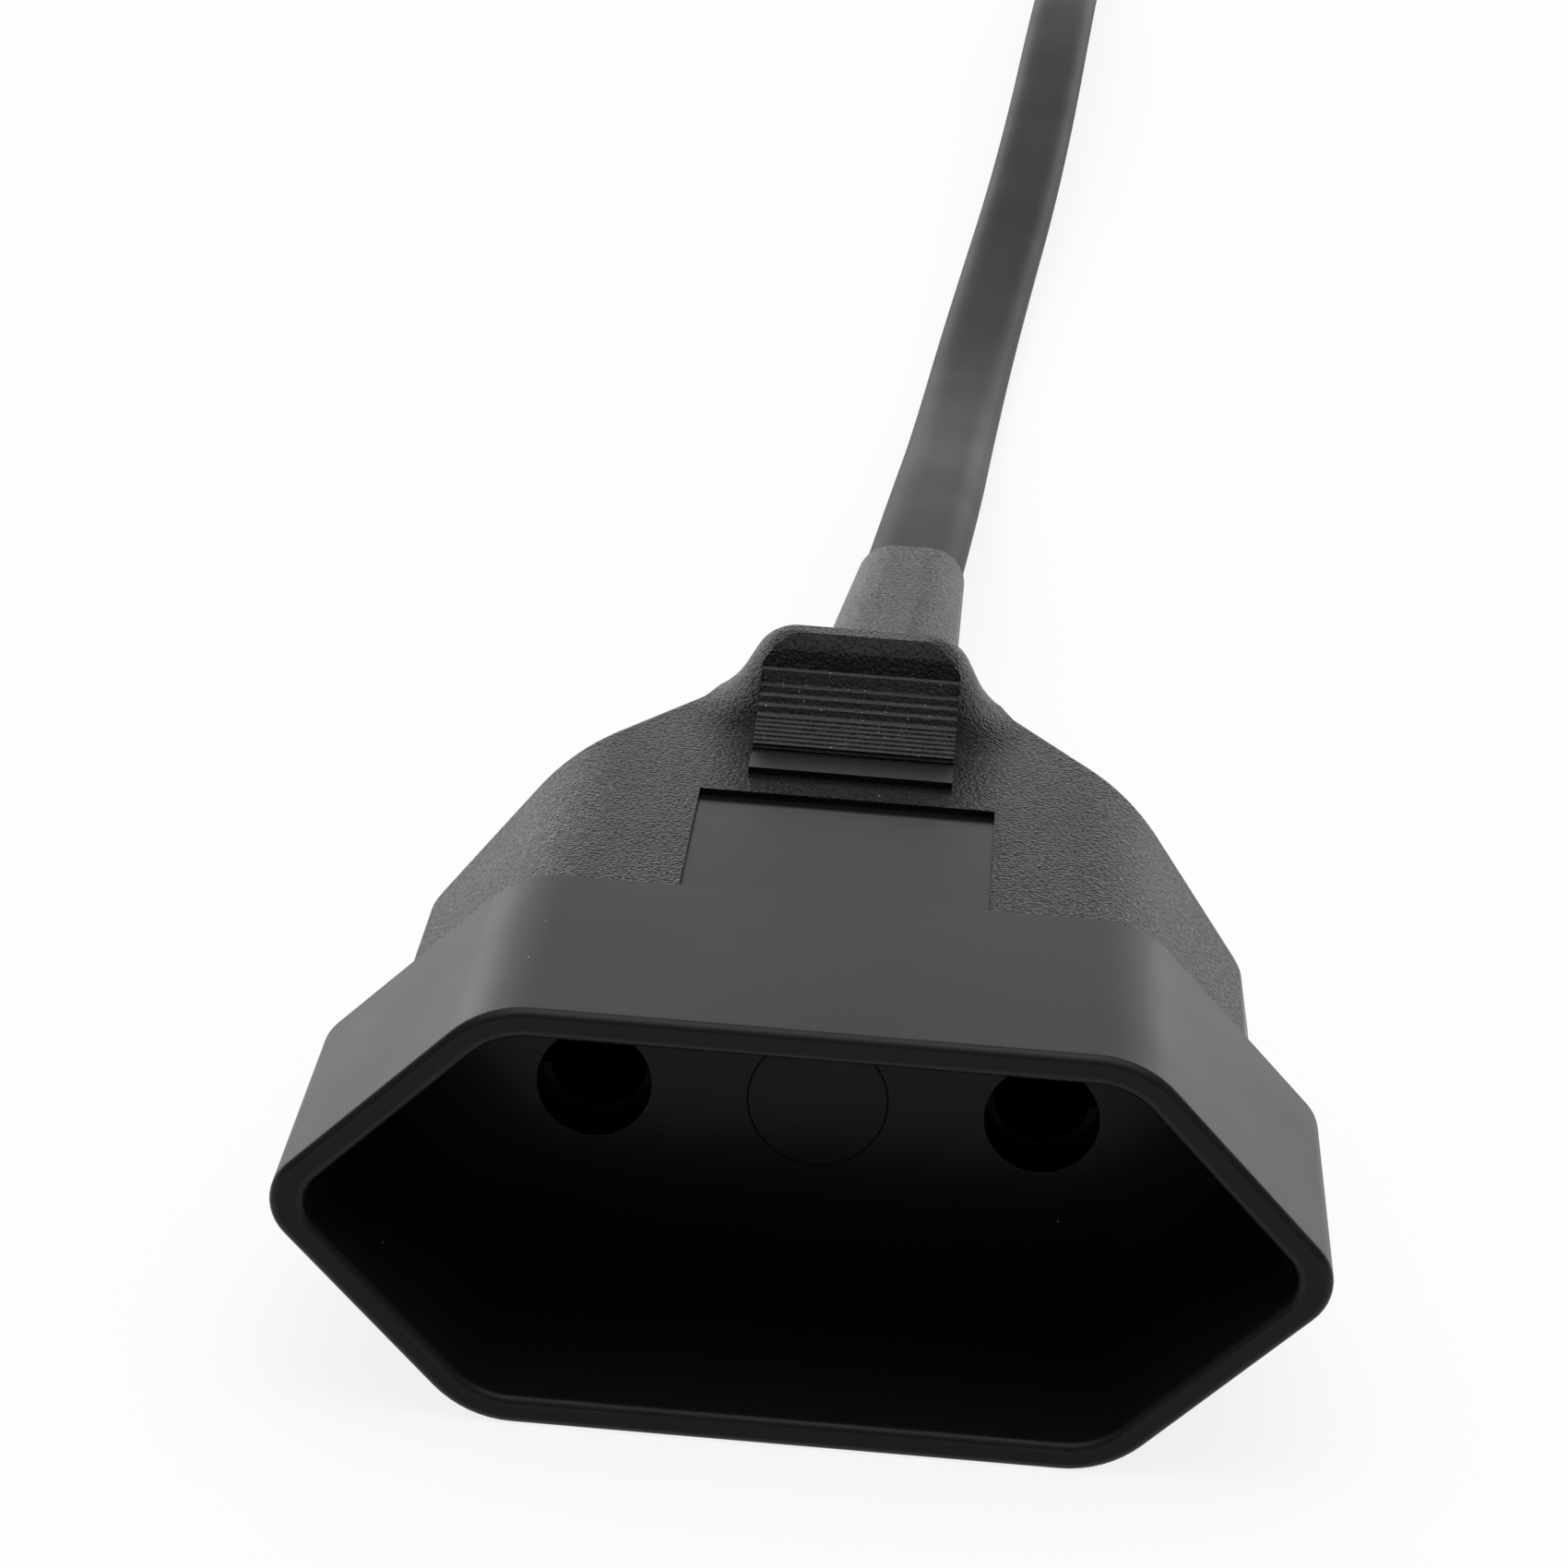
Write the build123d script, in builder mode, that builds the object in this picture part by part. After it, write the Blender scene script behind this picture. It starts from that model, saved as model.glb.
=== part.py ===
"""Two-pin socket lead: a moulded Euro line socket, a short flat cord and a three-blade inlet plug."""
import os
from math import pi, radians, tan

from build123d import *

os.makedirs("parts", exist_ok=True)

# Frame: the socket's mouth faces -Y, its cord leaves towards +Y, +Z is up and the table is z = 0.
# The origin lies under the middle of the socket, from its mouth to the end of its strain relief.

# Socket collar: a hexagon with a flat top and bottom and sides at 45 degrees
collar_flat = 25.4
collar_height = 17.8
collar_depth = 14.1
collar_wall = 1.2
collar_tip_radius = 2.1
collar_corner_radius = 4.5
rim_edge_radius = 0.4
recess_depth = 13.6
recess_draft = 0.3
recess_tip_radius = 1.4
recess_corner_radius = 3.2

# Pin holes and contact chambers behind the recess floor
pin_pitch = 18.6
pin_diameter = 4.0
pin_length = 19.0
pin_hole_diameter = 4.8
pin_hole_depth = 2.4
chamber_diameter = 5.4
chamber_wall = 0.8
pin_tip_room = 0.6
floor_inset = 2.2
cover_thickness = 1.2

# Contact sleeves, crimps and wires
sleeve_wall = 0.5
sleeve_length = 14.5
sleeve_play = 0.05
sleeve_slit = 0.7
tab_width = 1.4
tab_room = 0.1
tab_bend = 0.6
crimp_radius = 1.4
crimp_length = 4.5
strand_radius = 0.6
strand_play = 0.05
core_radius = 0.9
core_strip = 0.4
core_straight = 1.3
core_run = 4.6
plug_core_run = 6.0
core_bend_radius = 2.0

# Moulded grip of the socket
grip_step = 1.0
grip_width = 36.3
grip_shoulder = 25.8
grip_length = 42.8
grip_end_width = 15.4
grip_shoulder_radius = 3.0
grip_edge_radius = 0.5
side_draft = 12.0
tail_length = 8.5
tail_width = 15.2
tail_height = 12.0
tail_corner_radius = 3.5
relief_length = 32.0
relief_width = 8.4
relief_height = 7.2
relief_corner_radius = 3.4
relief_end_width = 5.9
relief_end_height = 4.1
relief_end_corner_radius = 2.0
relief_lean = 1.4

# Bare plate recess and front bar on top of the grip
plate_width = 12.9
plate_length = 14.0
plate_depth = 0.3
bar_start = 30.4
bar_length = 1.9
bar_rise = 0.3
bar_width = 9.0

# Finger stop behind the bar: a lip turned about an upright axis, with flights of low steps up its front.
# Each flight is its number of steps, the rise of a step and its run.
lip_centre = 39.8
lip_base_radius = 8.05
lip_blend_radius = 3.0
lip_blend_turn = 62.0
lip_rise = 3.6
lip_edge_radius = 2.0
lip_brow_drop = 0.5
lip_brow_radius = 0.65
lip_brow_turn = 80.0
lip_root = 0.8
step_flights = [(9, 0.09, 0.345), (1, 0.1, 0.6), (3, 0.29, 0.53), (1, 0.6, 0.4)]

# Flat two-core cord
cord_width = 5.4
cord_thickness = 3.4
cord_straight = 20.0
mould_gap = 0.05

# Inlet plug at the far end
plug_width = 27.0
plug_height = 19.8
plug_chamfer = 5.0
plug_corner_radius = 1.6
plug_wall = 1.4
plug_shroud_depth = 22.0
plug_cavity_depth = 18.0
plug_block_length = 3.0
plug_block_inset = 3.0
plug_grip_length = 26.0
plug_grip_edge_radius = 4.0
plug_grip_shoulder = 7.0
plug_shoulder_radius = 8.0
plug_neck_start = 19.0
plug_neck_width = 10.4
plug_neck_radius = 12.0
plug_flange_width = 11.0
plug_flange_rise = 0.35
plug_flange_thickness = 2.2
plug_flange_corner_radius = 2.4
plug_relief_length = 22.0
plug_end_x = 11.4
plug_end_y = 342.4
blade_pitch = 14.0
blade_thickness = 2.0
blade_width = 4.0
blade_row_drop = 2.0
earth_rise = 2.0
blade_reach = 15.0
earth_reach = 16.5
blade_nose = 0.7

# Levels and stations worked out from the sizes above
axis_z = collar_height / 2
grip_top = collar_height / 2 - grip_step
flank_inset = grip_top * tan(radians(side_draft)) + grip_edge_radius
socket_length = grip_length + tail_length + relief_length
mouth_y = -socket_length / 2
floor_y = mouth_y + recess_depth
collar_rear_y = mouth_y + collar_depth
sleeve_front_y = floor_y + pin_hole_depth
chamber_rear_y = floor_y + pin_length + pin_tip_room
cover_rear_y = chamber_rear_y + cover_thickness
crimp_front_y = cover_rear_y + tab_bend
crimp_rear_y = crimp_front_y + crimp_length
core_front_y = crimp_rear_y + core_strip
core_rear_y = core_front_y + 2 * core_straight + core_run
grip_rear_y = mouth_y + grip_length
tail_front_y = grip_rear_y - flank_inset
relief_start_y = grip_rear_y + tail_length
relief_end_y = relief_start_y + relief_length
sleeve_bore = pin_diameter / 2 + sleeve_play
sleeve_radius = sleeve_bore + sleeve_wall
tab_x = pin_pitch / 2 - sleeve_bore - sleeve_wall / 2
crimp_x = tab_x + sleeve_wall / 2 - crimp_radius
bar_front_y = mouth_y + bar_start
bar_rear_y = bar_front_y + bar_length
grip_top_z = axis_z + grip_top
lip_axis_y = mouth_y + lip_centre
lip_top_z = grip_top_z + lip_rise
lip_root_z = grip_top_z - lip_root
over_lip_z = lip_top_z + lip_rise
core_pitch = cord_width - cord_thickness
hexagon_corner = tan(radians(22.5))
cut_reach = 2 * collar_height

# Route of the cord from the socket's strain relief to the plug's, chosen by hand,
# and the share of the shorter run beside a bend that the bend takes up
bend_share = 0.45
lean = Vector(relief_lean, relief_length, 0).normalized()
exit_point = Vector(relief_lean, relief_end_y, axis_z)
jacket_length = (relief_end_y - core_rear_y) / lean.Y
jacket_start = exit_point - lean * jacket_length
jacket_plane = Plane(origin=jacket_start, x_dir=(lean.Y, -lean.X, 0), z_dir=lean)
lying_z = cord_thickness / 2
plug_axis_z = plug_height / 2
plug_relief_end = Vector(plug_end_x, plug_end_y, plug_axis_z)
route_points = [
    exit_point,
    exit_point + lean * cord_straight,
    Vector(3.3, 88.5, 4.2),
    Vector(4.3, 116.5, lying_z),
    Vector(6.7, 156.5, lying_z),
    Vector(9.1, 205.5, lying_z),
    Vector(10.9, 256.5, lying_z),
    Vector(11.1, 283.5, lying_z),
    Vector(11.3, 304.5, 4.6),
    Vector(11.4, 324.4, plug_axis_z),
    plug_relief_end,
]

# Stations of the plug, which faces +Y
plug_x = plug_relief_end.X
plug_flange_y = plug_relief_end.Y + plug_relief_length
plug_shroud_rear_y = plug_flange_y + plug_grip_length
plug_face_y = plug_shroud_rear_y + plug_shroud_depth
plug_floor_y = plug_face_y - plug_cavity_depth
plug_block_rear_y = plug_shroud_rear_y - plug_block_length
plug_crimp_front_y = plug_block_rear_y - tab_bend
plug_crimp_rear_y = plug_crimp_front_y - crimp_length
plug_core_front_y = plug_crimp_rear_y - core_strip
plug_core_rear_y = plug_core_front_y - 2 * core_straight - plug_core_run
plug_jacket_end = Vector(plug_x, plug_core_rear_y, plug_axis_z)
blade_places = {
    "live": (blade_pitch / 2, -blade_row_drop),
    "neutral": (-blade_pitch / 2, -blade_row_drop),
    "earth": (0, earth_rise),
}


def across(y):
    """Upright plane through the socket's axis, looking along it from the mouth."""
    return Plane(origin=(0, y, axis_z), x_dir=(1, 0, 0), z_dir=(0, -1, 0))


def across_plug(y):
    """Upright plane through the plug's axis."""
    return Plane(origin=(plug_x, y, plug_axis_z), x_dir=(1, 0, 0), z_dir=(0, -1, 0))


def hexagon(inset, tip_radius, corner_radius):
    """The collar's outline moved inwards, drawn in the sketch that is open."""
    half_flat = collar_flat / 2 - inset * hexagon_corner
    half_height = collar_height / 2 - inset
    half_width = half_flat + half_height
    Polygon(
        (half_width, 0),
        (half_flat, half_height),
        (-half_flat, half_height),
        (-half_width, 0),
        (-half_flat, -half_height),
        (half_flat, -half_height),
        align=None,
    )
    tips = vertices().group_by(Axis.X)
    fillet(tips[0] + tips[-1], radius=tip_radius)
    corners = vertices().group_by(Axis.Y)
    fillet(corners[0] + corners[-1], radius=corner_radius)


def inlet_outline(inset):
    """The plug's outline, a rectangle with its two upper corners cut, in the sketch that is open."""
    half_width = plug_width / 2 - inset
    half_height = plug_height / 2 - inset
    cut = plug_chamfer - 2 * inset * hexagon_corner / (1 + hexagon_corner)
    Polygon(
        (-half_width, -half_height),
        (half_width, -half_height),
        (half_width, half_height - cut),
        (half_width - cut, half_height),
        (cut - half_width, half_height),
        (-half_width, half_height - cut),
        align=None,
    )
    fillet(vertices(), radius=plug_corner_radius)


def plan_outline(points, radii):
    """Plan of a grip from the right half of its outline, front to rear, in the sketch that is open."""
    front_x, front_y = points[0]
    rear_x, rear_y = points[-1]
    with BuildLine() as plan:
        side = FilletPolyline(*points, radius=radii)
        mirror(side, about=Plane.YZ)
        Line((front_x, front_y), (-front_x, front_y))
        Line((rear_x, rear_y), (-rear_x, rear_y))
    make_face(plan.edges())


def wire_path(points):
    """Path of an insulated core, with both of its bends rounded."""
    with BuildLine() as path:
        FilletPolyline(*points, radius=core_bend_radius)
    return path.line


def round_section(path, radius):
    """Circle at the start of a path, in the part that is open."""
    with BuildSketch(Plane(origin=path @ 0, z_dir=path % 0)) as section:
        Circle(radius)
    return section.sketch


with BuildPart() as socket_shroud:
    with BuildSketch(across(mouth_y)):
        hexagon(0, collar_tip_radius, collar_corner_radius)
    extrude(amount=-collar_depth)
    with BuildSketch(across(collar_rear_y)):
        hexagon(floor_inset, collar_tip_radius, collar_corner_radius)
    extrude(amount=-(sleeve_front_y - collar_rear_y))
    with BuildSketch(across(sleeve_front_y)):
        SlotCenterToCenter(pin_pitch, chamber_diameter + 2 * chamber_wall)
    extrude(amount=-(chamber_rear_y - sleeve_front_y))
    with BuildSketch(across(mouth_y)):
        hexagon(collar_wall, recess_tip_radius, recess_corner_radius)
    with BuildSketch(across(floor_y)):
        hexagon(collar_wall + recess_draft, recess_tip_radius, recess_corner_radius)
    loft(mode=Mode.SUBTRACT)
    with BuildSketch(across(floor_y)):
        with GridLocations(pin_pitch, pin_pitch, 2, 1):
            Circle(pin_hole_diameter / 2)
    extrude(amount=-pin_hole_depth, mode=Mode.SUBTRACT)
    with BuildSketch(across(sleeve_front_y)):
        with GridLocations(pin_pitch, pin_pitch, 2, 1):
            Circle(chamber_diameter / 2)
    extrude(amount=-(chamber_rear_y - sleeve_front_y), mode=Mode.SUBTRACT)
    rim = faces().sort_by(Axis.Y)[0]
    fillet(rim.edges(), radius=rim_edge_radius)
socket_shroud.part.label = "socket_shroud"
export_step(socket_shroud.part, "parts/socket_shroud.step")

with BuildPart() as contact_cover:
    with BuildSketch(across(chamber_rear_y)):
        SlotCenterToCenter(pin_pitch, chamber_diameter + 2 * chamber_wall)
        with GridLocations(2 * tab_x, 2 * tab_x, 2, 1):
            Rectangle(sleeve_wall + 2 * tab_room, tab_width + 2 * tab_room, mode=Mode.SUBTRACT)
    extrude(amount=-cover_thickness)
contact_cover.part.label = "contact_cover"
export_step(contact_cover.part, "parts/contact_cover.step")

socket_core_paths = {}
for side_name, side in (("left", -1), ("right", 1)):
    with BuildPart() as contact:
        with BuildSketch(across(sleeve_front_y)):
            with Locations((side * pin_pitch / 2, 0)):
                Circle(sleeve_radius)
                Circle(sleeve_bore, mode=Mode.SUBTRACT)
            with Locations((side * (pin_pitch / 2 + sleeve_bore), 0)):
                Rectangle(4 * sleeve_wall, sleeve_slit, mode=Mode.SUBTRACT)
        extrude(amount=-sleeve_length)
        with BuildSketch(across(sleeve_front_y + sleeve_length)):
            with Locations((side * tab_x, 0)):
                Rectangle(sleeve_wall, tab_width)
        extrude(amount=-(crimp_rear_y - sleeve_front_y - sleeve_length))
        with BuildSketch(across(crimp_front_y)):
            with Locations((side * crimp_x, 0)):
                Circle(crimp_radius)
        extrude(amount=-crimp_length)
        with BuildSketch(across(crimp_front_y)):
            with Locations((side * crimp_x, 0)):
                Circle(strand_radius + strand_play)
        extrude(amount=-crimp_length, mode=Mode.SUBTRACT)
    contact.part.label = f"contact_{side_name}"
    export_step(contact.part, f"parts/contact_{side_name}.step")

    with BuildPart() as strands:
        with BuildSketch(across(crimp_front_y)):
            with Locations((side * crimp_x, 0)):
                Circle(strand_radius)
        extrude(amount=-(core_front_y - crimp_front_y))
    strands.part.label = f"socket_strands_{side_name}"
    export_step(strands.part, f"parts/socket_strands_{side_name}.step")

    core_end = jacket_start + jacket_plane.x_dir * (side * core_pitch / 2)
    core_points = [
        Vector(side * crimp_x, core_front_y, axis_z),
        Vector(side * crimp_x, core_front_y + core_straight, axis_z),
        core_end - lean * core_straight,
        core_end,
    ]
    socket_core_paths[side_name] = wire_path(core_points)
    with BuildPart() as socket_core:
        sweep(round_section(socket_core_paths[side_name], core_radius), path=socket_core_paths[side_name])
    socket_core.part.label = f"socket_core_{side_name}"
    export_step(socket_core.part, f"parts/socket_core_{side_name}.step")

grip_side = [
    (grip_width / 2, mouth_y),
    (grip_width / 2, mouth_y + grip_shoulder),
    (grip_end_width / 2, grip_rear_y),
]
stair_corners = []
lip_front_y = bar_rear_y
step_z = grip_top_z
for step_count, step_rise, step_run in step_flights:
    for _ in range(step_count):
        step_z += step_rise
        stair_corners.append((lip_front_y, step_z))
        lip_front_y += step_run
        stair_corners.append((lip_front_y, step_z))

with BuildPart() as finger_stop:
    with BuildSketch(Plane.YZ):
        with BuildLine():
            base = (lip_axis_y - lip_base_radius, grip_top_z)
            blend = JernArc(base, tangent=(1, 0), radius=lip_blend_radius, arc_size=lip_blend_turn)
            rise_left = lip_top_z - (blend @ 1).Y
            front = PolarLine(blend @ 1, rise_left / (blend % 1).Y, direction=blend % 1)
            Polyline(
                front @ 1,
                (lip_axis_y, lip_top_z),
                (lip_axis_y, lip_root_z),
                (lip_axis_y - lip_base_radius, lip_root_z),
                base,
            )
        make_face()
        top_corner = vertices().group_by(Axis.Y)[-1].sort_by(Axis.X)[0]
        fillet(top_corner, radius=lip_edge_radius)
    revolve(axis=Axis((0, lip_axis_y, 0), (0, 0, 1)))
    with BuildSketch(Plane.XY.offset(lip_root_z)):
        plan_outline(grip_side, grip_shoulder_radius)
        offset(amount=-flank_inset)
    extrude(amount=cut_reach, mode=Mode.INTERSECT)
    with BuildSketch(Plane.YZ):
        with BuildLine():
            face = Polyline(*stair_corners, (lip_front_y, lip_top_z - lip_brow_drop))
            brow = JernArc(face @ 1, tangent=(0, 1), radius=lip_brow_radius, arc_size=-lip_brow_turn)
            Polyline(brow @ 1, (lip_front_y, over_lip_z), (bar_rear_y, over_lip_z), face @ 0)
        make_face()
    extrude(amount=bar_width / 2, both=True, mode=Mode.SUBTRACT)
    with BuildSketch(Plane.YZ):
        with BuildLine():
            Polyline(*stair_corners, (lip_front_y, lip_root_z), (bar_rear_y, lip_root_z), close=True)
        make_face()
    extrude(amount=bar_width / 2, both=True)

with BuildPart() as drafted_plan:
    with BuildSketch(Plane.XY.offset(axis_z)):
        plan_outline(grip_side, grip_shoulder_radius)
    extrude(amount=collar_height / 2, taper=side_draft)
    mirror(about=Plane.XY.offset(axis_z))

with BuildPart() as socket_grip:
    with BuildSketch(across(collar_rear_y)):
        hexagon(grip_step, collar_tip_radius, collar_corner_radius)
    extrude(amount=-(grip_length - collar_depth))
    add(drafted_plan.part, mode=Mode.INTERSECT)
    top_edges = faces().sort_by(Axis.Z)[-1].edges() + faces().sort_by(Axis.Z)[0].edges()
    fillet(top_edges.filter_by_position(Axis.Y, bar_front_y, grip_rear_y), radius=grip_edge_radius)
    add(finger_stop.part)
    with BuildSketch(across(tail_front_y)):
        RectangleRounded(tail_width, tail_height, tail_corner_radius)
    with BuildSketch(across(relief_start_y)):
        RectangleRounded(relief_width, relief_height, relief_corner_radius)
    loft()
    with BuildSketch(across(relief_start_y)):
        RectangleRounded(relief_width, relief_height, relief_corner_radius)
    with BuildSketch(across(relief_end_y)):
        with Locations((relief_lean, 0)):
            RectangleRounded(relief_end_width, relief_end_height, relief_end_corner_radius)
    loft()
    with Locations((0, collar_rear_y + plate_length / 2, grip_top_z)):
        Box(plate_width, plate_length, 2 * plate_depth, mode=Mode.SUBTRACT)
    with Locations((0, bar_front_y + bar_length / 2, grip_top_z)):
        Box(bar_width, bar_length, 2 * bar_rise)
    with BuildSketch(across(collar_rear_y)):
        hexagon(floor_inset - mould_gap, collar_tip_radius, collar_corner_radius)
    extrude(amount=-(sleeve_front_y + mould_gap - collar_rear_y), mode=Mode.SUBTRACT)
    with BuildSketch(across(sleeve_front_y)):
        SlotCenterToCenter(pin_pitch, chamber_diameter + 2 * chamber_wall + 2 * mould_gap)
    extrude(amount=-(cover_rear_y + mould_gap - sleeve_front_y), mode=Mode.SUBTRACT)
    with BuildSketch(across(cover_rear_y)):
        with GridLocations(2 * crimp_x, 2 * crimp_x, 2, 1):
            Rectangle(2 * (crimp_radius + mould_gap), 2 * (crimp_radius + mould_gap))
    extrude(amount=-(core_front_y - cover_rear_y), mode=Mode.SUBTRACT)
    for path in socket_core_paths.values():
        sweep(round_section(path, core_radius + mould_gap), path=path, mode=Mode.SUBTRACT)
    with BuildSketch(jacket_plane):
        SlotOverall(cord_width + 2 * mould_gap, cord_thickness + 2 * mould_gap)
    extrude(amount=jacket_length + cord_width, mode=Mode.SUBTRACT)
socket_grip.part.label = "socket_grip"
export_step(socket_grip.part, "parts/socket_grip.step")

with BuildPart() as plug_shroud:
    with BuildSketch(across_plug(plug_face_y)):
        inlet_outline(0)
    extrude(amount=plug_shroud_depth)
    with BuildSketch(across_plug(plug_shroud_rear_y)):
        inlet_outline(plug_block_inset)
    extrude(amount=plug_block_length)
    with BuildSketch(across_plug(plug_face_y)):
        inlet_outline(plug_wall)
    extrude(amount=plug_cavity_depth, mode=Mode.SUBTRACT)
    with BuildSketch(across_plug(plug_floor_y)):
        with Locations(*blade_places.values()):
            Rectangle(blade_thickness + 2 * mould_gap, blade_width + 2 * mould_gap)
    extrude(amount=plug_floor_y - plug_block_rear_y, mode=Mode.SUBTRACT)
    rim = faces().sort_by(Axis.Y)[-1]
    fillet(rim.edges(), radius=rim_edge_radius)
plug_shroud.part.label = "plug_shroud"
export_step(plug_shroud.part, "parts/plug_shroud.step")

plug_core_paths = {}
for blade_name, (blade_x, blade_z) in blade_places.items():
    wired = blade_name != "earth"
    reach = blade_reach if wired else earth_reach
    rear_y = plug_crimp_front_y if wired else plug_block_rear_y
    with BuildPart() as blade:
        with BuildSketch(across_plug(plug_floor_y + reach)):
            with Locations((blade_x, blade_z)):
                Rectangle(blade_thickness, blade_width)
        extrude(amount=plug_floor_y + reach - rear_y)
        chamfer(faces().sort_by(Axis.Y)[-1].edges(), length=blade_nose)
        if wired:
            with BuildSketch(across_plug(plug_crimp_front_y)):
                with Locations((blade_x, blade_z)):
                    Circle(crimp_radius)
                    Circle(strand_radius + strand_play, mode=Mode.SUBTRACT)
            extrude(amount=crimp_length)
    blade.part.label = f"plug_blade_{blade_name}"
    export_step(blade.part, f"parts/plug_blade_{blade_name}.step")
    if not wired:
        continue

    with BuildPart() as strands:
        with BuildSketch(across_plug(plug_crimp_front_y)):
            with Locations((blade_x, blade_z)):
                Circle(strand_radius)
        extrude(amount=plug_crimp_front_y - plug_core_front_y)
    strands.part.label = f"plug_strands_{blade_name}"
    export_step(strands.part, f"parts/plug_strands_{blade_name}.step")

    side = 1 if blade_x > 0 else -1
    core_end = plug_jacket_end + Vector(side * core_pitch / 2, 0, 0)
    core_start = Vector(plug_x + blade_x, plug_core_front_y, plug_axis_z + blade_z)
    core_points = [
        core_start,
        core_start - Vector(0, core_straight, 0),
        core_end + Vector(0, core_straight, 0),
        core_end,
    ]
    plug_core_paths[blade_name] = wire_path(core_points)
    with BuildPart() as plug_core:
        sweep(round_section(plug_core_paths[blade_name], core_radius), path=plug_core_paths[blade_name])
    plug_core.part.label = f"plug_core_{blade_name}"
    export_step(plug_core.part, f"parts/plug_core_{blade_name}.step")

with BuildPart() as plug_grip:
    with BuildSketch(Plane.XY.offset(plug_axis_z).move(Location((plug_x, 0, 0)))):
        plan_outline(
            [
                (plug_width / 2 - grip_step, plug_shroud_rear_y),
                (plug_width / 2 - grip_step, plug_shroud_rear_y - plug_grip_shoulder),
                (plug_neck_width / 2, plug_shroud_rear_y - plug_neck_start),
                (plug_neck_width / 2, plug_flange_y),
            ],
            [plug_shoulder_radius, plug_neck_radius],
        )
    extrude(amount=plug_height / 2 - grip_step, both=True)
    long_edges = edges().filter_by(Axis.Z, reverse=True).filter_by(Axis.X, reverse=True)
    fillet(long_edges, radius=plug_grip_edge_radius)
    with BuildSketch(across_plug(plug_flange_y)):
        RectangleRounded(
            plug_flange_width, plug_height - 2 * grip_step + 2 * plug_flange_rise, plug_flange_corner_radius
        )
    extrude(amount=-plug_flange_thickness)
    with BuildSketch(across_plug(plug_flange_y)):
        RectangleRounded(relief_width, relief_height, relief_corner_radius)
    with BuildSketch(across_plug(plug_relief_end.Y)):
        RectangleRounded(relief_end_width, relief_end_height, relief_end_corner_radius)
    loft()
    with BuildSketch(across_plug(plug_shroud_rear_y)):
        inlet_outline(plug_block_inset - mould_gap)
    extrude(amount=plug_block_length + mould_gap, mode=Mode.SUBTRACT)
    with BuildSketch(across_plug(plug_block_rear_y)):
        with Locations(blade_places["live"], blade_places["neutral"]):
            Rectangle(2 * (crimp_radius + mould_gap), blade_width + 2 * mould_gap)
    extrude(amount=plug_block_rear_y - plug_core_front_y, mode=Mode.SUBTRACT)
    for path in plug_core_paths.values():
        sweep(round_section(path, core_radius + mould_gap), path=path, mode=Mode.SUBTRACT)
    with BuildSketch(across_plug(plug_jacket_end.Y)):
        SlotOverall(cord_width + 2 * mould_gap, cord_thickness + 2 * mould_gap)
    extrude(amount=plug_jacket_end.Y - plug_relief_end.Y, mode=Mode.SUBTRACT)
plug_grip.part.label = "plug_grip"
export_step(plug_grip.part, "parts/plug_grip.step")

runs = [after - before for before, after in zip(route_points, route_points[1:])]
route_radii = []
for before, after in zip(runs, runs[1:]):
    turn = radians(before.get_angle(after))
    route_radii.append(bend_share * min(before.length, after.length) / tan(turn / 2))
with BuildLine() as route:
    FilletPolyline(*route_points, radius=route_radii)
with BuildPart() as cord:
    with BuildSketch(jacket_plane):
        SlotOverall(cord_width, cord_thickness)
    extrude(amount=jacket_length)
    with BuildSketch(Plane(origin=exit_point, x_dir=jacket_plane.x_dir, z_dir=lean)):
        SlotOverall(cord_width, cord_thickness)
    sweep(path=route.line)
    with BuildSketch(across_plug(plug_relief_end.Y)):
        SlotOverall(cord_width, cord_thickness)
    extrude(amount=plug_relief_end.Y - plug_jacket_end.Y)
cord.part.label = "cord"
export_step(cord.part, "parts/cord.step")

cord_section = core_pitch * cord_thickness + pi * cord_thickness**2 / 4
free_length = route.wire().length
whole_length = jacket_length + free_length + plug_jacket_end.Y - plug_relief_end.Y
print("cord radii", [round(radius) for radius in route_radii])
print("free cord length", round(free_length, 1))
print("cord volume over section times length", round(cord.part.volume / (cord_section * whole_length), 4))
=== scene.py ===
"""Looks of the socket lead: moulded black socket, flat cord and inlet plug on white studio paper."""
from math import radians

import bpy
from mathutils import Matrix, Vector


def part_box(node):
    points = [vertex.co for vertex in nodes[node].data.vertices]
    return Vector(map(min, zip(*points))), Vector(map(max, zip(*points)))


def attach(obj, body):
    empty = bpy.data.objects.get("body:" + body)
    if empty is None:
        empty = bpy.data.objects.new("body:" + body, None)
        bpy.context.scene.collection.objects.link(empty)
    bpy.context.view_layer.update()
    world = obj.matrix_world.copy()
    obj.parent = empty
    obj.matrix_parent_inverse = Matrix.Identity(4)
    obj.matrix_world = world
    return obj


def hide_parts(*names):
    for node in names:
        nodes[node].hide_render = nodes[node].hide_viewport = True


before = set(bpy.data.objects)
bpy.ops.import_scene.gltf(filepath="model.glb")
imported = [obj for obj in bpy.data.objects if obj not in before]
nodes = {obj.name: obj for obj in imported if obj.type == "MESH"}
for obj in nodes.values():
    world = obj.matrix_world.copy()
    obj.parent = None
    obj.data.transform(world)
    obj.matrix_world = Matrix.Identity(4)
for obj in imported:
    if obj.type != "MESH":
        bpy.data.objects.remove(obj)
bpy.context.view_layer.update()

MM = 0.001

# Places read off the CAD pieces
shroud_low, shroud_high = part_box("socket_shroud")
mouth_y = shroud_low.y
socket_axis_z = (shroud_low.z + shroud_high.z) / 2
lip_top_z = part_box("socket_grip")[1].z

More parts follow.
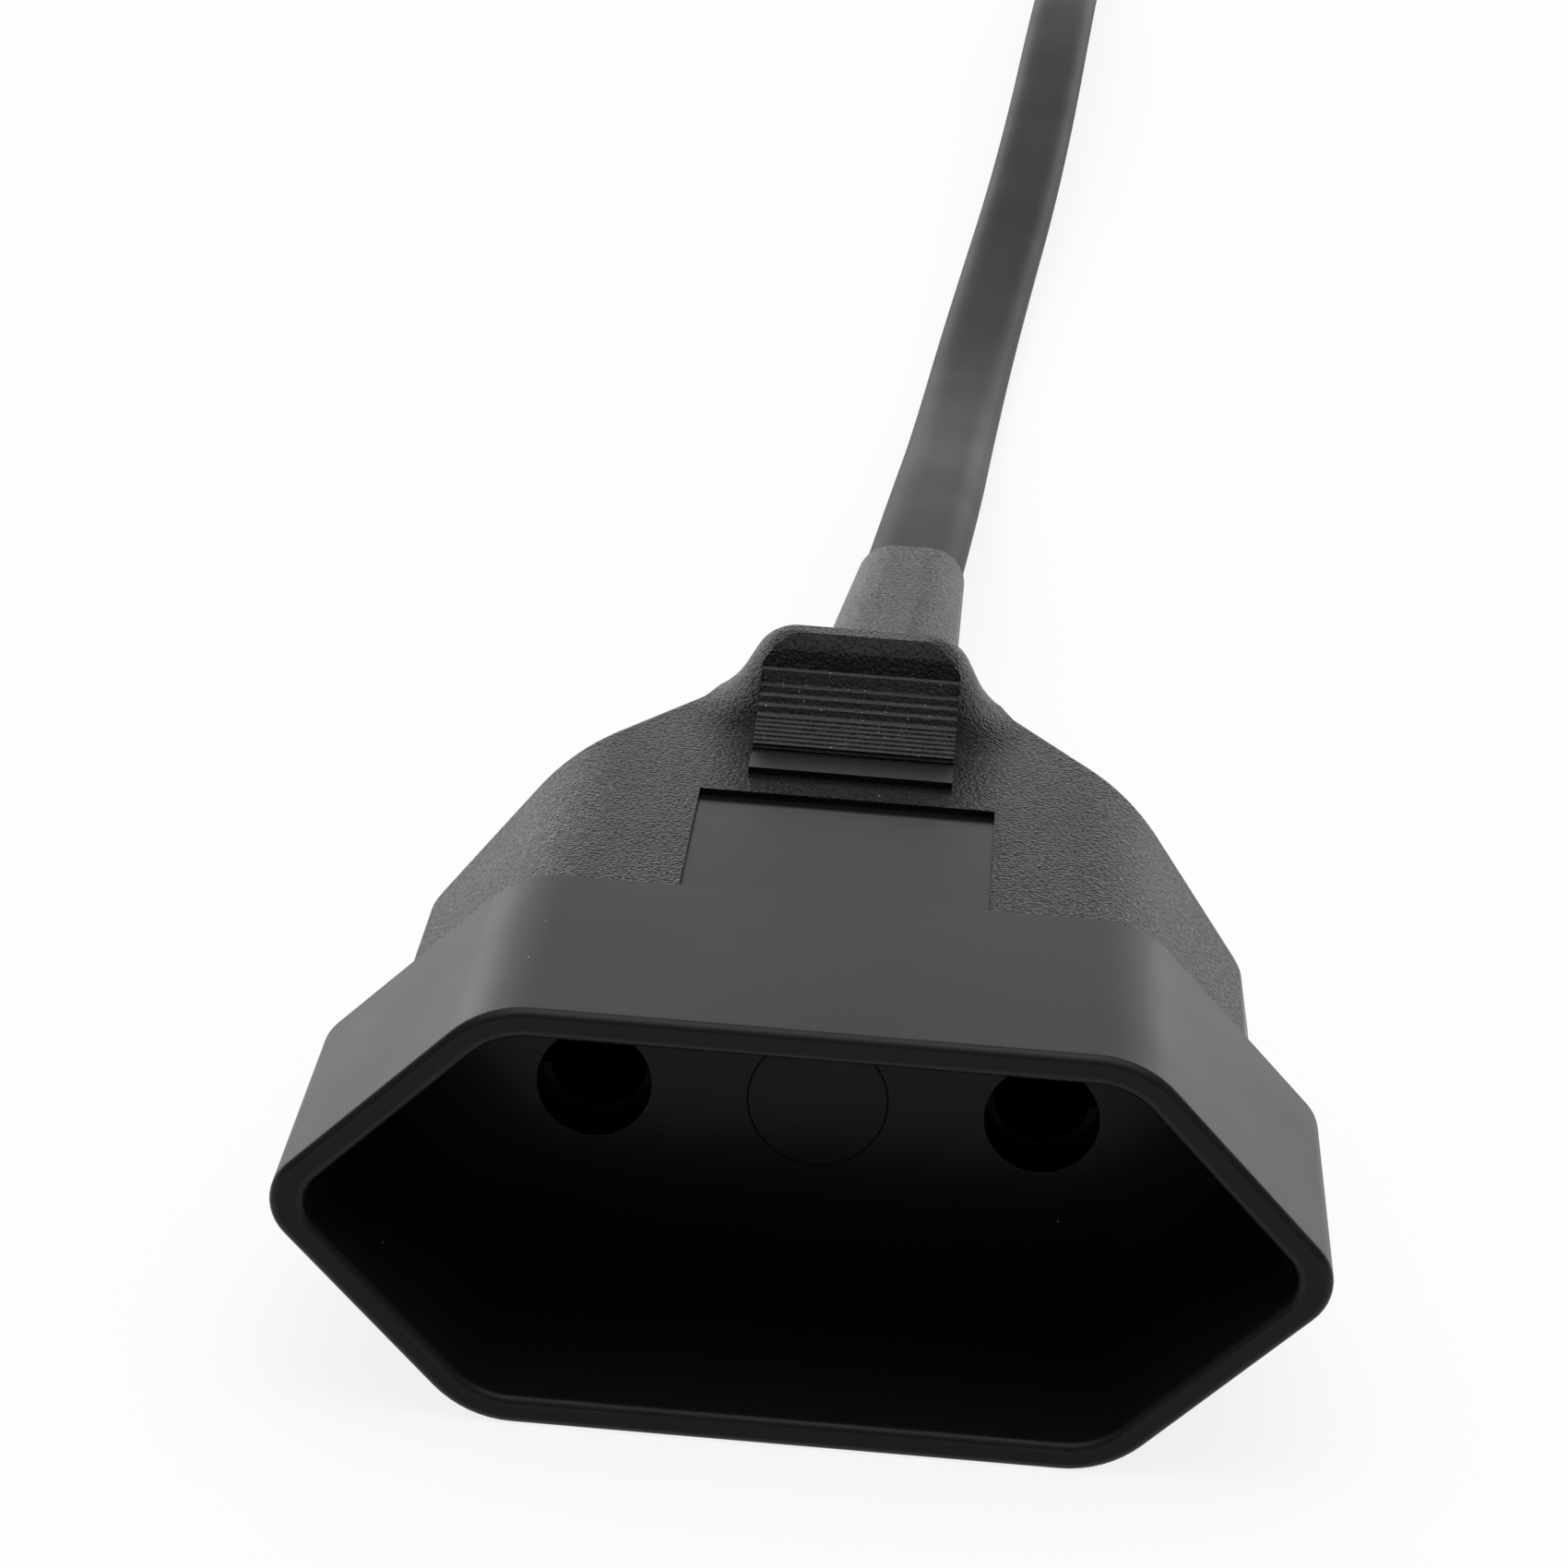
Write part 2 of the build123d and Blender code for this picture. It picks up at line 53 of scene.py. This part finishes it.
# Camera: where it aims, how far it stands off, how it is turned, and what it can see
camera_aim = Vector((-1.80, -41.65, 27.87)) * MM
camera_distance = 179.15 * MM
camera_azimuth = radians(2.05)
camera_elevation = radians(20.634)
camera_roll = radians(3.93)
camera_lens = 110.12
sensor_width = 36
camera_near = 10 * MM
camera_far = 20

# Flat cord: its section, and its route from the socket's strain relief to the plug's. The ends are where the
# CAD cord has them. The points between are set to follow the photograph: the cord comes down to the
# paper behind the socket, rises in one low hump and comes down again before the plug.
cord_width = 5.4 * MM
cord_thickness = 3.4 * MM
cord_route_mm = [
    (1.4, 41.65, 8.9),
    (2.3, 61.63, 7.5),
    (2.85, 92.5, 2.0),
    (4.15, 122.0, 1.6),
    (7.0, 162.0, 4.6),
    (9.2, 212.0, 8.6),
    (10.7, 259.0, 4.2),
    (11.1, 285.0, 0.9),
    (11.3, 304.5, 4.6),
    (11.4, 324.4, 9.9),
    (11.4, 342.4, 9.9),
]
cord_section_steps = 12
cord_route_steps = 16
cord_edge_angle = radians(40)

# Smooth copies of the CAD pieces: nearer points are one, flatter edges go, and steeper edges stay sharp
merge_distance = 0.001 * MM
flat_angle = radians(0.3)
sharp_angle = radians(35)

# How much of a face's normal lies along an axis when the face is square to it
square_on = 0.99

# Inner edge of the socket's mouth
mouth_edge_radius = 0.2 * MM
mouth_edge_steps = 4
mouth_edge_angle = radians(60)
mouth_depth_tolerance = 0.01 * MM

# Smooth faces on the grained grip: the floor of the plate recess and the top of the front bar
plate_floor_z = 16.5 * MM
bar_top_z = 17.1 * MM
flat_tolerance = 0.02 * MM

# Steps that rise from the front bar to the finger stop
steps_half_width = 4.4 * MM
steps_front_y = -9.4 * MM
steps_rear_y = -3.6 * MM

# Brow of the finger stop: where its front starts to lean back, the lip on its top, and how far the lip goes
brow_start_z = 19.3 * MM
lip_front_y = -3.42 * MM
lip_rear_y = -1.03 * MM
brow_lean = 1.4 * MM

# Mark of the ejector pin in the middle of the recess floor: a thin ring that stands just proud of it and
# carries painted shade for the fine gap round the pin
recess_depth = 13.6 * MM
ejector_radius = 2.95 * MM
ejector_line = 0.09 * MM
ejector_rise = 0.02 * MM
ejector_sides = 96

# Moulded blacks: how the grain is drawn, between which noise levels its pits and crests lie, wide patches of
# more and less gloss, and dust
grain_detail = 1.5
grain_fineness = 0.6
pit_level = 0.35
crest_level = 0.65
gloss_patch_mm = 7.0
gloss_patch_detail = 3.0
glossy_level = 0.3
dull_level = 0.7
gloss_spread = 0.02
dust_color = "#b9b6ae"
dust_radius_mm = 0.04

# Core insulation: how far apart its gloss wavers, and between which roughnesses
core_waver_mm = 0.8
core_waver_detail = 1.0
core_roughness = 0.4, 0.55

# Metals: how ragged the dull patches are, and how much the roughness differs in them
metal_patch_detail = 4.0
metal_gloss_spread = 0.08

# Paper, in metres, and how much of what the camera or a reflection sees of it is plain white
paper_size = 6
paper_color = "#f5f5f5"
paper_roughness = 0.9
paper_white_share = 0.85

# Tent of light round the paper: dim walls, a bright top, and a band along the rear that is strongest left
# and right of the middle. Directions are shares of a unit vector: a height of 1 is straight up, and 1 to the
# rear is straight back.
tent_wall = 0.2
tent_top = 3.0
tent_top_power = 6.0
tent_rear = 1.55
tent_rear_from = 0.3
tent_rear_full = 0.95
tent_middle_height = 0.75
tent_wing_height = 0.45
tent_middle = 1.0
tent_wings = 1.82
tent_wing_reach = 0.4
tent_left_gain = 0.25

WHITE = (1, 1, 1, 1)

# A Mix node has sockets for every type of value: these are the ones for mixing two colours
MIX_SHARE = 0
MIX_FIRST = 6
MIX_SECOND = 7
MIX_RESULT = 2


def linear(hex_color):
    """Linear colour of an sRGB hex value."""
    channels = [int(hex_color[start:start + 2], 16) / 255 for start in (1, 3, 5)]
    curved = [c / 12.92 if c <= 0.04045 else ((c + 0.055) / 1.055) ** 2.4 for c in channels]
    return (*curved, 1)


def add_node(tree, kind, inputs=None, **settings):
    """A new node with its settings, its input values and its links."""
    node = tree.nodes.new(kind)
    for name, value in settings.items():
        setattr(node, name, value)
    for socket, value in (inputs or {}).items():
        if isinstance(value, bpy.types.NodeSocket):
            tree.links.new(value, node.inputs[socket])
        else:
            node.inputs[socket].default_value = value
    return node


def new_material(name):
    """An empty material: itself, its node tree and the input of its surface."""
    material = bpy.data.materials.new(name)
    material.use_nodes = True
    tree = material.node_tree
    tree.nodes.clear()
    output = add_node(tree, "ShaderNodeOutputMaterial")
    return material, tree, output.inputs["Surface"]


def deselect_all():
    """Leaves nothing selected, because an operator acts on all that is."""
    for thing in bpy.context.selected_objects:
        thing.select_set(False)


def make_active(piece):
    """Selects one piece alone, for the operators that follow."""
    deselect_all()
    piece.select_set(True)
    bpy.context.view_layer.objects.active = piece


def make_camera():
    """The camera, turned about the point that it aims at and drawn back from it."""
    data = bpy.data.cameras.new("camera")
    data.lens = camera_lens
    data.sensor_width = sensor_width
    data.clip_start = camera_near
    data.clip_end = camera_far
    camera = bpy.data.objects.new("camera", data)
    bpy.context.scene.collection.objects.link(camera)
    turn = Matrix.Rotation(camera_azimuth, 4, "Z")
    turn = turn @ Matrix.Rotation(radians(90) - camera_elevation, 4, "X")
    turn = turn @ Matrix.Rotation(camera_roll, 4, "Z")
    back = turn @ Vector((0, 0, camera_distance))
    camera.matrix_world = Matrix.Translation(camera_aim + back) @ turn
    bpy.context.scene.camera = camera


def make_cord_section():
    """The cord's section as a closed curve: two flats joined by half circles."""
    profile = bpy.data.curves.new("cord_section", "CURVE")
    profile.dimensions = "2D"
    side = cord_thickness / 2
    flat = (cord_width - cord_thickness) / 2
    outline = profile.splines.new("BEZIER")
    corners = [(-flat, -side), (flat, -side), (flat, side), (-flat, side)]
    outline.bezier_points.add(len(corners) - 1)
    # The handles of a half circle in one Bezier segment are 4/3 of its radius long
    reach = side * 4 / 3
    for point, (x, y) in zip(outline.bezier_points, corners):
        point.co = (x, y, 0)
        inward = Vector((-x / 2, 0, 0))
        outward = Vector((reach if x > 0 else -reach, 0, 0))
        before, after = (inward, outward) if x * y < 0 else (outward, inward)
        point.handle_left_type = point.handle_right_type = "FREE"
        point.handle_left = point.co + before
        point.handle_right = point.co + after
    outline.use_cyclic_u = True
    outline.resolution_u = cord_section_steps
    section = bpy.data.objects.new("cord_section", profile)
    bpy.context.scene.collection.objects.link(section)
    return section


def make_cord():
    """The flat cord, its section drawn along one smooth line, and the points of that line."""
    section = make_cord_section()
    line = bpy.data.curves.new("flat_cord", "CURVE")
    line.dimensions = "3D"
    line.twist_mode = "Z_UP"
    line.resolution_u = cord_route_steps
    line.use_fill_caps = True
    spline = line.splines.new("NURBS")
    spline.points.add(len(cord_route_mm) - 1)
    for point, place in zip(spline.points, cord_route_mm):
        point.co = (*(Vector(place) * MM), 1)
    spline.order_u = 3
    spline.use_endpoint_u = True
    cord = bpy.data.objects.new("flat_cord", line)
    bpy.context.scene.collection.objects.link(cord)

    # The line's own points, read before it gets its section
    bare = bpy.data.meshes.new_from_object(cord)
    path = [vertex.co.copy() for vertex in bare.vertices]
    bpy.data.meshes.remove(bare)

    line.bevel_mode = "OBJECT"
    line.bevel_object = section
    make_active(cord)
    bpy.ops.object.convert(target="MESH")
    cord = bpy.context.object
    bpy.ops.object.shade_smooth_by_angle(angle=cord_edge_angle)
    bpy.data.objects.remove(section)
    return cord, path


def smooth_copy(name, material, shape=None):
    """A smooth-shaded copy of a CAD node in its place, with its finish and one last touch of its shape."""
    mesh = nodes[name].data.copy()
    piece = bpy.data.objects.new(f"{name}_skin", mesh)
    bpy.context.scene.collection.objects.link(piece)
    make_active(piece)

    # One closed mesh with whole flat faces
    bpy.ops.object.mode_set(mode="EDIT")
    bpy.ops.mesh.select_all(action="SELECT")
    bpy.ops.mesh.remove_doubles(threshold=merge_distance)
    bpy.ops.mesh.dissolve_limited(angle_limit=flat_angle)
    bpy.ops.object.mode_set(mode="OBJECT")
    if shape:
        shape(piece)

    # Roundings that shade smoothly, between flats that stay even and edges that stay sharp
    bpy.ops.object.mode_set(mode="EDIT")
    bpy.ops.mesh.select_mode(type="EDGE")
    bpy.ops.mesh.select_all(action="DESELECT")
    bpy.ops.mesh.edges_select_sharp(sharpness=sharp_angle)
    bpy.ops.mesh.mark_sharp()
    bpy.ops.object.mode_set(mode="OBJECT")
    bpy.ops.object.shade_smooth()
    flats = piece.modifiers.new("even_flats", "WEIGHTED_NORMAL")
    flats.keep_sharp = True
    bpy.ops.object.modifier_apply(modifier=flats.name)

    mesh.materials.clear()
    mesh.materials.append(material)
    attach(piece, "root")
    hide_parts(name)
    return piece


def round_mouth_edge(piece):
    """Takes the sharp edge off the inside of the socket's mouth."""
    bpy.ops.object.mode_set(mode="EDIT")
    bpy.ops.mesh.select_mode(type="EDGE")
    bpy.ops.mesh.select_all(action="DESELECT")
    bpy.ops.mesh.edges_select_sharp(sharpness=mouth_edge_angle)
    bpy.ops.object.mode_set(mode="OBJECT")
    corners = piece.data.vertices
    for edge in piece.data.edges:
        at_mouth = all(corners[index].co.y < mouth_y + mouth_depth_tolerance for index in edge.vertices)
        edge.select = edge.select and at_mouth
    bpy.ops.object.mode_set(mode="EDIT")
    bpy.ops.mesh.bevel(offset=mouth_edge_radius, segments=mouth_edge_steps)
    bpy.ops.object.mode_set(mode="OBJECT")


def round_brow(piece):
    """Leans the top of the finger stop's front face back into a soft brow."""
    for vertex in piece.data.vertices:
        rise = (vertex.co.z - brow_start_z) / (lip_top_z - brow_start_z)
        forward = (lip_rear_y - vertex.co.y) / (lip_rear_y - lip_front_y)
        if rise > 0 and forward > 0:
            vertex.co.y += brow_lean * rise ** 2 * min(forward, 1)


def make_ejector_shade_ring(material):
    """The hair-fine ring round the ejector pin's mark in the recess floor, a piece that carries painted shade
    for the gap.
    """
    deselect_all()
    bpy.ops.mesh.primitive_cylinder_add(
        vertices=ejector_sides,
        radius=ejector_radius,
        depth=2 * ejector_rise,
        rotation=(radians(90), 0, 0),
        location=(0, mouth_y + recess_depth, socket_axis_z),
    )
    mark = bpy.context.object
    mark.name = "ejector_mark"
    bpy.ops.object.transform_apply(location=True, rotation=True, scale=True)

    # Both ends set in by the line's width and joined through the middle, which leaves a ring
    bpy.ops.object.mode_set(mode="EDIT")
    bpy.ops.mesh.select_all(action="DESELECT")
    bpy.ops.object.mode_set(mode="OBJECT")
    for face in mark.data.polygons:
        face.select = abs(face.normal.y) > square_on
    bpy.ops.object.mode_set(mode="EDIT")
    bpy.ops.mesh.select_mode(type="FACE")
    bpy.ops.mesh.inset(thickness=ejector_line)
    bpy.ops.mesh.bridge_edge_loops()
    bpy.ops.object.mode_set(mode="OBJECT")

    mark.data.materials.append(material)
    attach(mark, "root")


def refinish(piece, material, chosen):
    """Gives the chosen faces of a piece another finish."""
    piece.data.materials.append(material)
    last = len(piece.data.materials) - 1
    for face in piece.data.polygons:
        if chosen(face):
            face.material_index = last


def is_polished_flat(face):
    """Whether a face of the grip is the floor of the plate recess or the top of the front bar."""
    off_level = min(abs(face.center.z - plate_floor_z), abs(face.center.z - bar_top_z))
    return off_level < flat_tolerance and face.normal.z > square_on


def is_step(face):
    """Whether a face of the grip is on the steps in front of the finger stop."""
    x, y, z = face.center
    return abs(x) < steps_half_width and steps_front_y < y < steps_rear_y and z > bar_top_z + flat_tolerance


def looks_out_of_mouth(face):
    """Whether a face of the insert is the front of the rim or the recess floor."""
    return face.normal.y < -square_on


def moulded_black(name, color, roughness, specular, grain_mm, grain_depth_mm, pit_dulling, dust_mm):
    """Black moulded plastic: the grain of its mould, dull in its pits, uneven gloss and specks of dust."""
    material, tree, surface = new_material(name)
    place = add_node(tree, "ShaderNodeTexCoord").outputs["Object"]
    grain = add_node(
        tree,
        "ShaderNodeTexNoise",
        {"Vector": place, "Scale": 1 / (grain_mm * MM), "Detail": grain_detail, "Roughness": grain_fineness},
    )
    bump = add_node(
        tree,
        "ShaderNodeBump",
        {"Strength": 1.0, "Distance": grain_depth_mm * MM, "Height": grain.outputs["Fac"]},
    )
    shine = add_node(
        tree,
        "ShaderNodeMapRange",
        {
            "Value": grain.outputs["Fac"],
            "From Min": pit_level,
            "From Max": crest_level,
            "To Min": specular * (1 - pit_dulling),
            "To Max": specular * (1 + pit_dulling),
        },
    )
    patches = add_node(
        tree,
        "ShaderNodeTexNoise",
        {"Vector": place, "Scale": 1 / (gloss_patch_mm * MM), "Detail": gloss_patch_detail},
    )
    gloss = add_node(
        tree,
        "ShaderNodeMapRange",
        {
            "Value": patches.outputs["Fac"],
            "From Min": glossy_level,
            "From Max": dull_level,
            "To Min": roughness - gloss_spread,
            "To Max": roughness + gloss_spread,
        },
    )
    specks = add_node(tree, "ShaderNodeTexVoronoi", {"Vector": place, "Scale": 1 / (dust_mm * MM)})
    on_speck = add_node(
        tree,
        "ShaderNodeMath",
        {0: specks.outputs["Distance"], 1: dust_radius_mm / dust_mm},
        operation="LESS_THAN",
    )
    dusty = add_node(
        tree,
        "ShaderNodeMix",
        {MIX_SHARE: on_speck.outputs["Value"], MIX_FIRST: linear(color), MIX_SECOND: linear(dust_color)},
        data_type="RGBA",
    )
    shader = add_node(
        tree,
        "ShaderNodeBsdfPrincipled",
        {
            "Base Color": dusty.outputs[MIX_RESULT],
            "Specular IOR Level": shine.outputs["Result"],
            "Roughness": gloss.outputs["Result"],
            "Normal": bump.outputs["Normal"],
        },
    )
    tree.links.new(shader.outputs["BSDF"], surface)
    return material


def core_insulation(name, color):
    """Vinyl drawn over a core: one clear colour, with a faint gloss that wavers along the core."""
    material, tree, surface = new_material(name)
    place = add_node(tree, "ShaderNodeTexCoord").outputs["Object"]
    waver = add_node(
        tree,
        "ShaderNodeTexNoise",
        {"Vector": place, "Scale": 1 / (core_waver_mm * MM), "Detail": core_waver_detail},
    )
    smoothest, roughest = core_roughness
    gloss = add_node(
        tree,
        "ShaderNodeMapRange",
        {"Value": waver.outputs["Fac"], "To Min": smoothest, "To Max": roughest},
    )
    shader = add_node(
        tree,
        "ShaderNodeBsdfPrincipled",
        {"Base Color": linear(color), "Roughness": gloss.outputs["Result"]},
    )
    tree.links.new(shader.outputs["BSDF"], surface)
    return material


def worked_metal(name, color, dull_color, roughness, patch_mm):
    """Metal strip, plate or wire: clean metal that dulls in patches."""
    material, tree, surface = new_material(name)
    place = add_node(tree, "ShaderNodeTexCoord").outputs["Object"]
    patches = add_node(
        tree,
        "ShaderNodeTexNoise",
        {"Vector": place, "Scale": 1 / (patch_mm * MM), "Detail": metal_patch_detail},
    )
    tone = add_node(
        tree,
        "ShaderNodeMix",
        {MIX_SHARE: patches.outputs["Fac"], MIX_FIRST: linear(color), MIX_SECOND: linear(dull_color)},
        data_type="RGBA",
    )
    gloss = add_node(
        tree,
        "ShaderNodeMapRange",
        {
            "Value": patches.outputs["Fac"],
            "To Min": roughness - metal_gloss_spread,
            "To Max": roughness + metal_gloss_spread,
        },
    )
    shader = add_node(
        tree,
        "ShaderNodeBsdfPrincipled",
        {
            "Base Color": tone.outputs[MIX_RESULT],
            "Metallic": 1.0,
            "Roughness": gloss.outputs["Result"],
        },
    )
    tree.links.new(shader.outputs["BSDF"], surface)
    return material


def make_paper():
    """White studio paper. Seen directly or mirrored it is mostly plain white, and it keeps a soft shadow."""
    deselect_all()
    bpy.ops.mesh.primitive_plane_add(size=paper_size)
    paper = bpy.context.object
    paper.name = "studio_paper"
    material, tree, surface = new_material("white_studio_paper")
    lit = add_node(
        tree,
        "ShaderNodeBsdfPrincipled",
        {"Base Color": linear(paper_color), "Roughness": paper_roughness, "Specular IOR Level": 0.0},
    )
    plain = add_node(tree, "ShaderNodeEmission", {"Color": WHITE, "Strength": 1.0})
    rays = add_node(tree, "ShaderNodeLightPath")
    mirrored = add_node(
        tree,
        "ShaderNodeMath",
        {0: rays.outputs["Is Glossy Ray"], 1: rays.outputs["Is Transmission Ray"]},
        operation="MAXIMUM",
    )
    seen = add_node(
        tree,
        "ShaderNodeMath",
        {0: rays.outputs["Is Camera Ray"], 1: mirrored.outputs["Value"]},
        operation="MAXIMUM",
    )
    share = add_node(
        tree,
        "ShaderNodeMath",
        {0: seen.outputs["Value"], 1: paper_white_share},
        operation="MULTIPLY",
    )
    mixed = add_node(
        tree,
        "ShaderNodeMixShader",
        {0: share.outputs["Value"], 1: lit.outputs["BSDF"], 2: plain.outputs["Emission"]},
    )
    tree.links.new(mixed.outputs["Shader"], surface)
    paper.data.materials.append(material)


def make_tent():
    """Soft light from overhead and from behind, where it is strongest to the left and the right."""
    world = bpy.data.worlds.new("studio_tent")
    bpy.context.scene.world = world
    world.use_nodes = True
    tree = world.node_tree
    tree.nodes.clear()
    direction = add_node(tree, "ShaderNodeTexCoord").outputs["Generated"]
    axes = add_node(tree, "ShaderNodeSeparateXYZ", {"Vector": direction})
    across, along, height = axes.outputs
    outward = add_node(tree, "ShaderNodeMath", {0: across}, operation="ABSOLUTE")

    # The band along the rear, and how high it reaches in the middle and at the wings
    rear = add_node(
        tree,
        "ShaderNodeMapRange",
        {"Value": along, "From Min": tent_rear_from, "From Max": tent_rear_full, "To Max": tent_rear},
        interpolation_type="SMOOTHSTEP",
    )
    reach_up = add_node(
        tree,
        "ShaderNodeMapRange",
        {
            "Value": outward.outputs["Value"],
            "From Max": tent_wing_reach,
            "To Min": tent_middle_height,
            "To Max": tent_wing_height,
        },
        interpolation_type="SMOOTHSTEP",
    )
    low = add_node(
        tree,
        "ShaderNodeMapRange",
        {"Value": height, "From Max": reach_up.outputs["Result"], "To Min": 1.0, "To Max": 0.0},
        interpolation_type="SMOOTHSTEP",
    )
    edge = add_node(
        tree,
        "ShaderNodeMath",
        {0: rear.outputs["Result"], 1: low.outputs["Result"]},
        operation="MULTIPLY",
    )

    # How its strength is spread from the middle to the wings, and from right to left
    wings = add_node(
        tree,
        "ShaderNodeMapRange",
        {
            "Value": outward.outputs["Value"],
            "From Max": tent_wing_reach,
            "To Min": tent_middle,
            "To Max": tent_wings,
        },
        interpolation_type="SMOOTHSTEP",
    )
    sided = add_node(
        tree,
        "ShaderNodeMath",
        {0: across, 1: -tent_left_gain, 2: 1.0},
        operation="MULTIPLY_ADD",
    )
    spread = add_node(
        tree,
        "ShaderNodeMath",
        {0: wings.outputs["Result"], 1: sided.outputs["Value"]},
        operation="MULTIPLY",
    )

    # The band on the dim walls, and the bright top over both
    band = add_node(
        tree,
        "ShaderNodeMath",
        {0: edge.outputs["Value"], 1: spread.outputs["Value"], 2: tent_wall},
        operation="MULTIPLY_ADD",
    )
    rise = add_node(tree, "ShaderNodeMath", {0: height, 1: tent_top_power}, operation="POWER")
    strength = add_node(
        tree,
        "ShaderNodeMath",
        {0: rise.outputs["Value"], 1: tent_top, 2: band.outputs["Value"]},
        operation="MULTIPLY_ADD",
    )
    light = add_node(tree, "ShaderNodeBackground", {"Color": WHITE, "Strength": strength.outputs["Value"]})
    add_node(tree, "ShaderNodeOutputWorld", {"Surface": light.outputs["Background"]})


# Finishes. Their roughness and specular level started at what is usual for the material and were then matched
# to the photograph.

# Nylon from a smooth mould: an even satin black with wide soft reflections, and edges that catch the light
smooth_black = moulded_black(
    "moulded_nylon_smooth",
    color="#131314",
    roughness=0.38,
    specular=0.18,
    grain_mm=0.12,
    grain_depth_mm=0.002,
    pit_dulling=0.05,
    dust_mm=4.0,
)

# The same nylon where the mould is polished, on the rim's front and the recess floor: it mirrors the paper
# and the dark inside of the collar more clearly, so the floor fades to black towards its lower edge
mouth_black = moulded_black(
    "moulded_nylon_polished",
    color="#131314",
    roughness=0.24,
    specular=0.12,
    grain_mm=0.12,
    grain_depth_mm=0.002,
    pit_dulling=0.05,
    dust_mm=4.0,
)

# Soft vinyl from a spark-eroded mould: a fine pebbled grain that turns grey where light grazes it. Such a
# grain is under 0.1 mm wide, too fine to show here, so it is drawn about twice as coarse.
grained_black = moulded_black(
    "moulded_vinyl_spark_eroded",
    color="#131314",
    roughness=0.28,
    specular=0.09,
    grain_mm=0.17,
    grain_depth_mm=0.085,
    pit_dulling=0.6,
    dust_mm=1.6,
)

# The same vinyl where the mould is polished, on the plate and the front bar: flat and smooth by the grain
polished_black = moulded_black(
    "moulded_vinyl_polished",
    color="#131314",
    roughness=0.22,
    specular=0.12,
    grain_mm=0.12,
    grain_depth_mm=0.002,
    pit_dulling=0.05,
    dust_mm=4.0,
)

# The same vinyl on the steps, rougher, with bright crests and much dust. Its paler colour is painted
# highlight, standing in for the light that the steps' small rounded edges catch
steps_vinyl_painted_highlight = moulded_black(
    "moulded_vinyl_painted_highlight",
    color="#343435",
    roughness=0.5,
    specular=0.5,
    grain_mm=0.17,
    grain_depth_mm=0.11,
    pit_dulling=0.5,
    dust_mm=0.5,
)

# Vinyl extruded as the cord's jacket: a soft satin without grain, lighter where the cord slopes away
jacket_black = moulded_black(
    "extruded_vinyl_jacket",
    color="#131314",
    roughness=0.46,
    specular=0.07,
    grain_mm=0.3,
    grain_depth_mm=0.002,
    pit_dulling=0.05,
    dust_mm=4.0,
)

# Painted shade for the fine gap round the ejector pin: a dull line of nylon, a little darker than the floor
# round it
gap_painted_shade = moulded_black(
    "shadowed_mould_line",
    color="#0b0b0b",
    roughness=0.5,
    specular=0.06,
    grain_mm=0.12,
    grain_depth_mm=0.002,
    pit_dulling=0.05,
    dust_mm=4.0,
)

# Brass strip, stamped: a deep brown far darker than clean brass, painted shade so that it stays dark behind
# the pin holes
contact_brass_painted_shade = worked_metal(
    "stamped_brass_painted_shade",
    color="#2b2417",
    dull_color="#17120b",
    roughness=0.5,
    patch_mm=0.8,
)

# Nickel plate on brass: pale and slightly warm, with clear reflections that dull in patches
blade_metal = worked_metal(
    "nickel_plated_brass",
    color="#c9c5bc",
    dull_color="#a9a49a",
    roughness=0.28,
    patch_mm=2.5,
)

# Drawn copper wire, bare: reddish, and browner where it has begun to tarnish
strand_metal = worked_metal(
    "bare_copper_strands",
    color="#b5694a",
    dull_color="#8a4a33",
    roughness=0.38,
    patch_mm=0.5,
)

# Vinyl extruded over the two cores: plain colours with a waxy gloss
brown_core = core_insulation("brown_core_insulation", "#5a3520")
blue_core = core_insulation("blue_core_insulation", "#2a5fa8")

make_camera()
cord, cord_path = make_cord()

# Each CAD node but the cord, with its finish and its slot in the part's record
skins = {}
last_touches = {"socket_shroud": round_mouth_edge, "socket_grip": round_brow}
for name, material, slot in [
    ("socket_shroud", smooth_black, "black_insert"),
    ("contact_cover", smooth_black, "black_insert"),
    ("socket_grip", grained_black, "black_grip"),
    ("contact_left", contact_brass_painted_shade, "brass_contact"),
    ("contact_right", contact_brass_painted_shade, "brass_contact"),
    ("socket_strands_left", strand_metal, "copper_strands"),
    ("socket_strands_right", strand_metal, "copper_strands"),
    ("socket_core_left", blue_core, "blue_core"),
    ("socket_core_right", brown_core, "brown_core"),
    ("plug_shroud", smooth_black, "black_insert"),
    ("plug_grip", grained_black, "black_grip"),
    ("plug_blade_live", blade_metal, "nickel_blade"),
    ("plug_blade_neutral", blade_metal, "nickel_blade"),
    ("plug_blade_earth", blade_metal, "nickel_blade"),
    ("plug_strands_live", strand_metal, "copper_strands"),
    ("plug_strands_neutral", strand_metal, "copper_strands"),
    ("plug_core_live", brown_core, "brown_core"),
    ("plug_core_neutral", blue_core, "blue_core"),
]:
    skins[name] = smooth_copy(name, material, last_touches.get(name))
refinish(skins["socket_grip"], polished_black, is_polished_flat)
# The steps take the paler vinyl, whose lighter colour is painted highlight
refinish(skins["socket_grip"], steps_vinyl_painted_highlight, is_step)
refinish(skins["socket_shroud"], mouth_black, looks_out_of_mouth)
# A dark ring just proud of the recess floor: painted shade for the gap round the ejector pin
make_ejector_shade_ring(gap_painted_shade)

# The cord, with the plug's pieces on its far end
cord.data.materials.clear()
cord.data.materials.append(jacket_black)
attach(cord, "root")
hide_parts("cord")

make_paper()
make_tent()
bpy.context.scene.view_settings.view_transform = "Standard"
